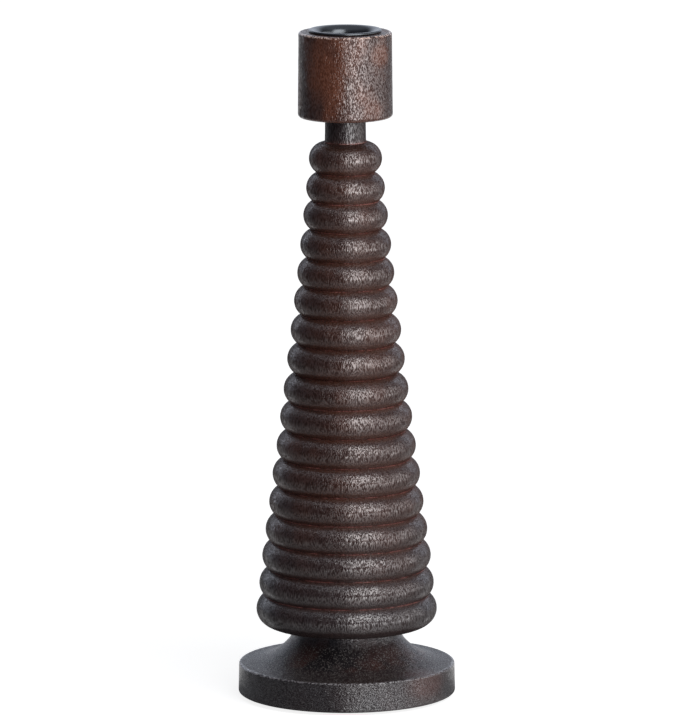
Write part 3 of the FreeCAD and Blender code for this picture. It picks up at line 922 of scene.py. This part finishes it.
# The world: its light, what reflections see of it, and how far back or up they look where that sets in
ROOM_LIGHT = (0.16, 0.17, 0.19)
DIM_ROOM = (0.065, 0.067, 0.083)
WHITE_BEHIND = (0.82, 0.88, 1.0)
SOFT_CEILING = (0.31, 0.33, 0.37)
BEHIND_FROM = (0.45, 0.95)
CEILING_FROM = (0.5, 0.9)


def make_world():
    """Soft light from all round. The camera sees white, and so do reflections of what lies behind the
    stick, as in a white sweep. Towards the camera they see a dim room, and above a soft ceiling light."""
    world = bpy.data.worlds.new("studio")
    bpy.context.scene.world = world
    world.use_nodes = True
    nodes = Nodes(world.node_tree)
    rays = nodes.add("ShaderNodeLightPath").outputs
    way = nodes.parts(nodes.add("ShaderNodeTexCoord").outputs["Generated"])
    reflected = nodes.mix(nodes.ramp(way["Y"], *BEHIND_FROM), DIM_ROOM, WHITE_BEHIND)
    reflected = nodes.mix(nodes.ramp(way["Z"], *CEILING_FROM), reflected, SOFT_CEILING)
    shiny = nodes.most(rays["Is Glossy Ray"], rays["Is Transmission Ray"])
    colour = nodes.mix(shiny, ROOM_LIGHT, reflected)
    colour = nodes.mix(rays["Is Camera Ray"], colour, WHITE)
    background = nodes.add("ShaderNodeBackground", {"Color": colour})
    nodes.add("ShaderNodeOutputWorld", {"Surface": background.outputs[0]})


def make_softbox(name, azimuth, distance, middle, width, height, glow):
    """An upright soft lamp that faces the stick. Azimuth 0 is the camera's side, 90 its right. middle is
    the height of its middle, and glow its brightness, where 1 is a white surface's in full light."""
    light = bpy.data.lights.new(name, "AREA")
    light.shape = "RECTANGLE"
    light.size = width
    light.size_y = height
    light.energy = glow * math.pi * width * height
    lamp = bpy.data.objects.new(name, light)
    bpy.context.scene.collection.objects.link(lamp)
    angle = math.radians(azimuth)
    away = Vector((math.sin(angle), -math.cos(angle), 0))
    lamp.location = away * distance + Vector((0, 0, middle))
    lamp.rotation_mode = "QUATERNION"
    lamp.rotation_quaternion = away.to_track_quat("Z", "Y")
    lamp.visible_camera = False


def make_camera():
    camera = bpy.data.cameras.new("camera")
    long_side = max(PHOTO_WIDTH, PHOTO_HEIGHT)
    camera.sensor_width = SENSOR_WIDTH
    camera.lens = camera.sensor_width * FOCAL_PIXELS / long_side
    camera.shift_x = (PHOTO_WIDTH / 2 - AIM_PIXEL[0]) / long_side
    camera.shift_y = (AIM_PIXEL[1] - PHOTO_HEIGHT / 2) / long_side
    camera.clip_end = CLIP_END
    eye = bpy.data.objects.new("camera", camera)
    bpy.context.scene.collection.objects.link(eye)
    back = Vector((0, -math.cos(CAMERA_ELEVATION), math.sin(CAMERA_ELEVATION)))
    eye.location = Vector((0, 0, AIM_HEIGHT)) + back * CAMERA_DISTANCE
    eye.rotation_mode = "QUATERNION"
    eye.rotation_quaternion = back.to_track_quat("Z", "Y") @ Quaternion((0, 0, 1), CAMERA_ROLL)
    bpy.context.scene.camera = eye


noise.seed_set(GRAIN_SEED)
make_camera()
make_base()
make_column()
make_block()
make_cup(metal_material())
make_pads(felt_material())
finish_screws(steel_material())
make_floor()
make_world()
make_softbox("key_softbox", azimuth=31, distance=0.5, middle=0.56, width=0.5, height=0.80, glow=2.65)
make_softbox("side_softbox", azimuth=88, distance=0.9, middle=0.3, width=0.9, height=0.8, glow=1.1)
bpy.context.scene.view_settings.view_transform = "Standard"
